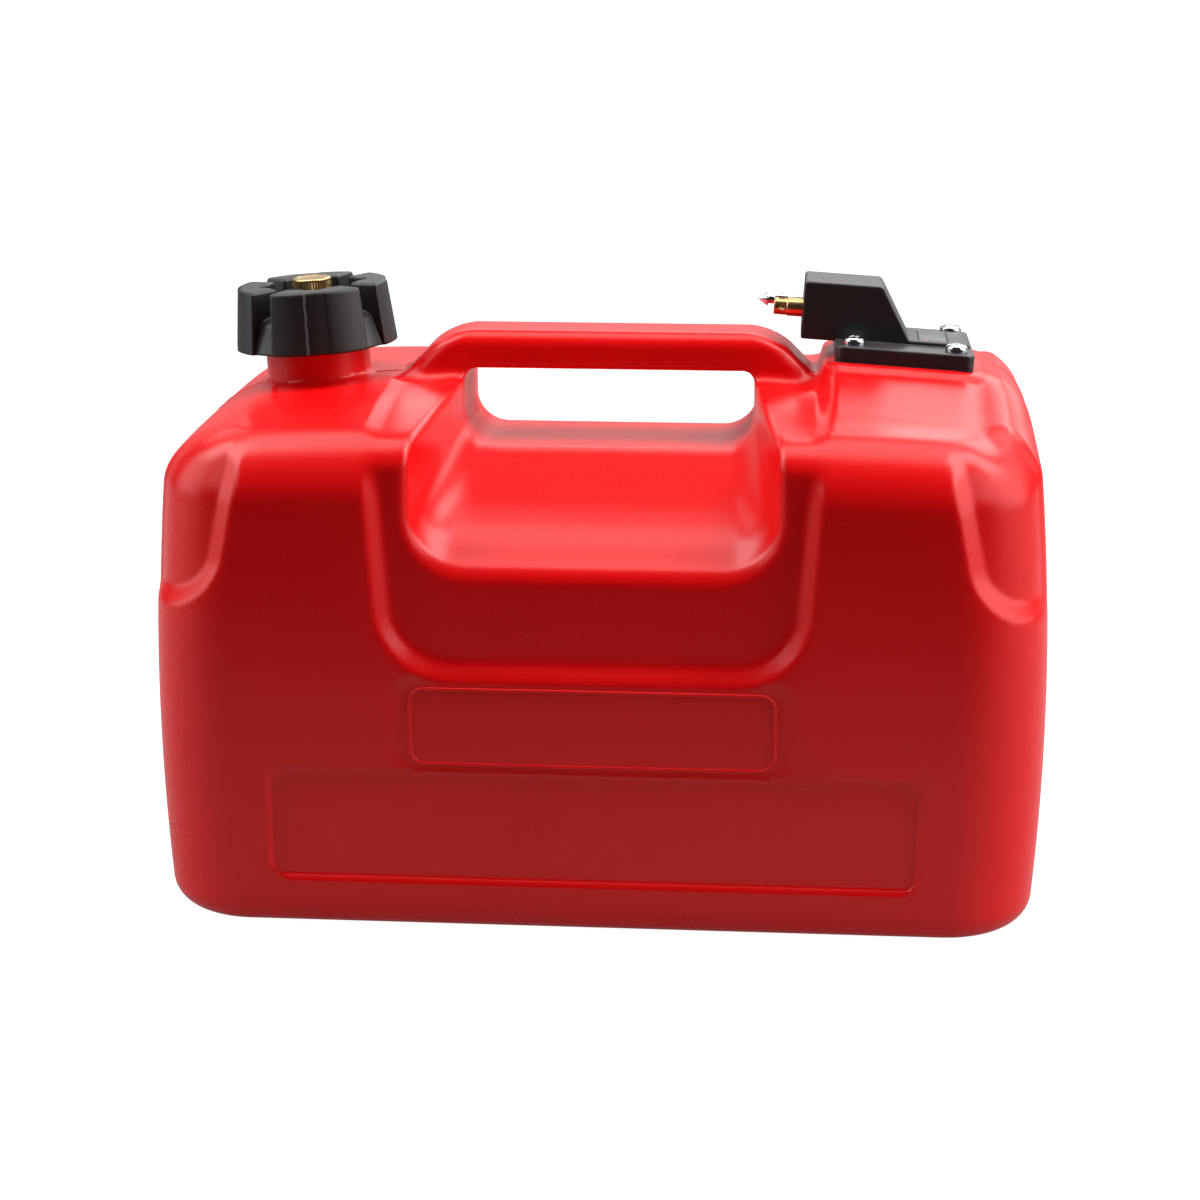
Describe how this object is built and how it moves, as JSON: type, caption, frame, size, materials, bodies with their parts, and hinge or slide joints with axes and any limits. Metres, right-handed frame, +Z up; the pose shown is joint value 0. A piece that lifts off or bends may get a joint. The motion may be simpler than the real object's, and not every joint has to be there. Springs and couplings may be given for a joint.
{
  "type": "portable outboard fuel tank",
  "caption": "Portable moulded outboard fuel tank with a carry handle, lobed filler cap with vent screw, and float gauge with a fuel connector.",
  "frame": {"origin": "middle of the flat base, on the surface that the tank stands on", "axes": "+X along the tank from the filler cap to the gauge, +Y from the front face to the back face, +Z up"},
  "size_m": [0.37, 0.23, 0.2575],
  "materials": {
    "red_shell": "semi-gloss blow-moulded polyethylene",
    "black_plastic": "satin moulded nylon",
    "rubber": "matte",
    "brass": "machined",
    "chrome": "bright plated",
    "steel": "drawn",
    "clear_pane": "clear moulded pane",
    "white_plastic": "plain",
    "red_pointer": "plain",
    "float_foam": "closed-cell foam"
  },
  "bodies": {
    "tank": {"tank_body": "red_shell", "gauge_housing": "black_plastic", "gauge_gasket": "rubber", "flange_screw_1": "chrome", "flange_screw_2": "chrome", "flange_screw_3": "chrome", "flange_screw_4": "chrome", "screw_insert_1": "brass", "screw_insert_2": "brass", "screw_insert_3": "brass", "screw_insert_4": "brass", "dial_window": "clear_pane", "dial_face": "white_plastic", "strip_bearing": "brass", "guide_rod_1": "steel", "guide_rod_2": "steel", "gauge_frame_top": "black_plastic", "gauge_frame_foot": "black_plastic", "pickup_tube": "steel", "pickup_strainer": "white_plastic", "connector_block": "black_plastic", "fuel_prong": "brass", "guide_pin": "chrome"},
    "cap_seat": {"cap_gasket": "rubber"},
    "cap": {"filler_cap": "black_plastic"},
    "vent_lift": {"vent_seal": "rubber"},
    "vent": {"vent_screw": "brass"},
    "float": {"float": "float_foam", "float_key": "brass"},
    "strip": {"twist_strip": "steel", "pointer": "red_pointer"}
  },
  "joints": [
    {"name": "cap_lift", "type": "slide", "parent": "tank", "child": "cap_seat", "axis": [-0.0611, 0, 0.9981], "range_m": [0, 0.07]},
    {"name": "cap_turn", "type": "hinge", "parent": "cap_seat", "child": "cap", "pos_m": [-0.128, 0, 0.214], "axis": [-0.0611, 0, 0.9981], "range_deg": [0, 540]},
    {"name": "vent_rise", "type": "slide", "parent": "cap", "child": "vent_lift", "axis": [-0.0611, 0, 0.9981], "range_m": [0, 0.0023]},
    {"name": "vent_turn", "type": "hinge", "parent": "vent_lift", "child": "vent", "pos_m": [-0.128, 0, 0.214], "axis": [-0.0611, 0, 0.9981], "range_deg": [0, 720]},
    {"name": "float_rise", "type": "slide", "parent": "tank", "child": "float", "axis": [0.0628, 0, 0.998], "range_m": [0, 0.165]},
    {"name": "strip_turn", "type": "hinge", "parent": "tank", "child": "strip", "pos_m": [0.13298, 0, 0.22267], "axis": [0.0628, 0, 0.998], "range_deg": [-150, 0]}
  ],
  "couplings": [
    {"joint": "vent_rise", "follows": "vent_turn", "m_per_rad": 0.000159},
    {"joint": "strip_turn", "follows": "float_rise", "rad_per_m": -15.867}
  ]
}
